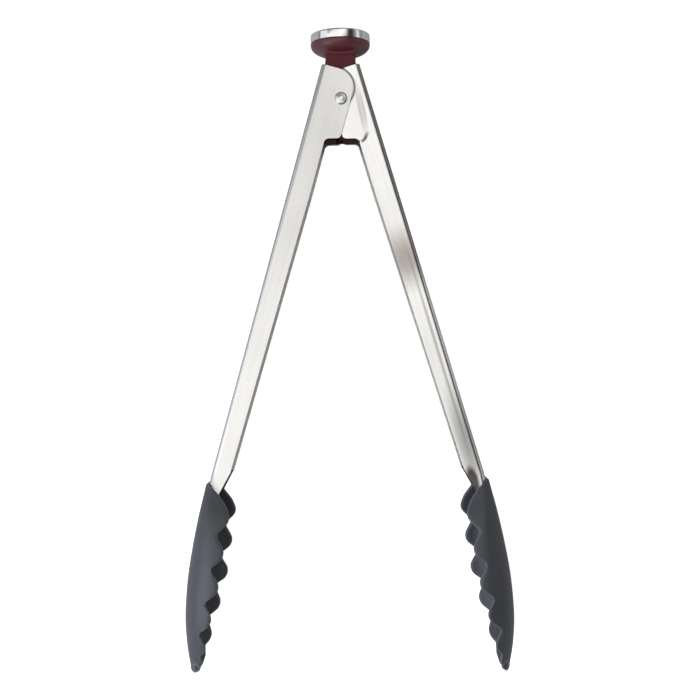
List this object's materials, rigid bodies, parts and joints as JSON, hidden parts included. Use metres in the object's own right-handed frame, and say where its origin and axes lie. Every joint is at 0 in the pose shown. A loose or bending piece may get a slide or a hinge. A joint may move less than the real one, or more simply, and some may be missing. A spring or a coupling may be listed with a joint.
{
  "type": "kitchen tongs",
  "caption": "Spring loaded kitchen tongs: steel channel arms on a rivet, scalloped silicone spoon heads, and a pull knob that locks them closed.",
  "frame": {"origin": "on the surface that the tongs lie on, under the middle of their box, open", "axes": "+Z along the pivot away from the surface, +Y along the tongs towards the knob, +X to the right arm"},
  "size_m": [0.1492, 0.2926, 0.0441],
  "materials": {
    "arm_steel": "brushed lengthwise",
    "head_silicone": "matte silicone",
    "rivet_steel": "satin",
    "spring_steel": "drawn wire",
    "maroon_plastic": "satin moulded",
    "cap_steel": "brushed round the rim"
  },
  "bodies": {
    "left_tong": {"left_arm": "arm_steel", "left_head": "head_silicone"},
    "right_tong": {"right_arm": "arm_steel", "right_head": "head_silicone"},
    "pivot": {"pivot_rivet": "rivet_steel", "rivet_washer": "rivet_steel", "pivot_sleeve": "rivet_steel", "torsion_spring": "spring_steel"},
    "lock": {"lock_slider": "maroon_plastic", "knob_cap": "cap_steel"}
  },
  "joints": [
    {"name": "arm_hinge", "type": "hinge", "parent": "left_tong", "child": "right_tong", "pos_m": [0, 0.1152, 0.02207], "axis": [0, 0, -1], "range_deg": [0, 29.3], "stiffness_Nm_per_rad": 0.55, "springref_deg": -25.78, "deforming": ["torsion_spring"]},
    {"name": "pin_turn", "type": "hinge", "parent": "left_tong", "child": "pivot", "pos_m": [0, 0.1152, 0.02207], "axis": [0, 0, -1], "range_deg": [0, 14.65]},
    {"name": "knob_lock", "type": "slide", "parent": "pivot", "child": "lock", "axis": [0, 1, 0], "range_m": [0, 0.005]}
  ],
  "couplings": [
    {"joint": "pin_turn", "follows": "arm_hinge", "ratio": 0.5}
  ]
}
